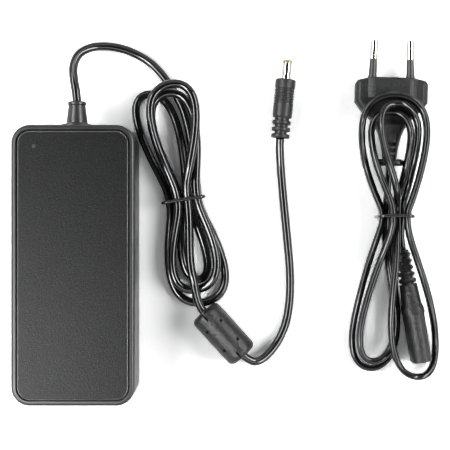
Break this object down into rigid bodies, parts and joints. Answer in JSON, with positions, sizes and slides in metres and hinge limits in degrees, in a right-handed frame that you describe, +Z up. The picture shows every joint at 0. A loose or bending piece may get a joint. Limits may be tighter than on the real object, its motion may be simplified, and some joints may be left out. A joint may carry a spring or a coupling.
{
  "type": "laptop power adapter",
  "caption": "Rectangular notebook power adapter with a hanked DC cord, choke bead and barrel plug, and a separate hanked mains lead with a two-pin plug and a figure-eight connector.",
  "frame": {"origin": "middle of the housing's base", "axes": "+Y along the housing towards the DC cord's end, +Z up, out of the cover"},
  "size_m": [0.2054, 0.1758, 0.03],
  "materials": {
    "housing": "satin black moulded plastic",
    "panel": "finely textured charcoal plastic",
    "light_pipe": "clear moulded plastic",
    "lamp": "tinted lens",
    "inlet": "black moulded plastic",
    "bright_metal": "nickel plated",
    "board": "green glass-fibre board",
    "film": "amber film",
    "sheet": "mill finish",
    "fuse_case": "brown case",
    "yellow_case": "yellow case",
    "ferrite": "sintered grey",
    "copper": "enamelled copper wire",
    "chip_case": "black moulded case",
    "sleeve_blue": "shrink sleeve",
    "winding_tape": "wound tape",
    "disc_blue": "blue coated disc",
    "white_case": "white moulded case",
    "wire": "red insulated wire",
    "cord": "glossy black cord sheath",
    "moulding": "satin black moulding",
    "tie_wire": "black coated wire",
    "bead": "satin black moulding",
    "insulator": "yellow plastic",
    "plug_black": "satin black moulding",
    "contact": "plain"
  },
  "bodies": {
    "adapter": {"bottom_shell": "housing", "top_cover": "panel", "light_pipe": "light_pipe", "indicator_lamp": "lamp", "inlet_body": "inlet", "inlet_pins": "bright_metal", "circuit_board": "board", "insulating_film": "film", "heat_spreader": "sheet", "fuse": "fuse_case", "x_capacitor": "yellow_case", "line_choke_core": "ferrite", "line_choke_winding": "copper", "bridge_rectifier": "chip_case", "bulk_capacitor": "sleeve_blue", "power_transistor": "chip_case", "primary_heatsink": "sheet", "transformer_core": "ferrite", "transformer_winding": "winding_tape", "y_capacitor": "disc_blue", "optocoupler": "white_case", "control_chip": "chip_case", "output_rectifier": "chip_case", "secondary_heatsink": "sheet", "output_capacitors": "sleeve_blue", "output_choke": "ferrite", "output_wires": "wire", "cable_grommet": "moulding", "dc_cord_lead": "cord", "dc_hank": "cord", "dc_tie": "tie_wire", "ferrite_core": "ferrite", "choke_bead": "bead", "dc_cord_tail": "cord", "dc_plug_grip": "moulding", "dc_plug_barrel": "bright_metal", "dc_plug_insulator": "insulator", "dc_plug_contact": "bright_metal"},
    "mains_lead": {"mains_plug_body": "plug_black", "mains_plug_pins": "bright_metal", "mains_pin_sleeves": "plug_black", "mains_hank": "cord", "mains_tie": "tie_wire", "connector_body": "moulding", "connector_contacts": "contact"}
  },
  "joints": [
    {"name": "mains_lead_lift", "type": "slide", "parent": "adapter", "child": "mains_lead", "axis": [0, 0, 1], "range_m": [0, 0.1]}
  ]
}
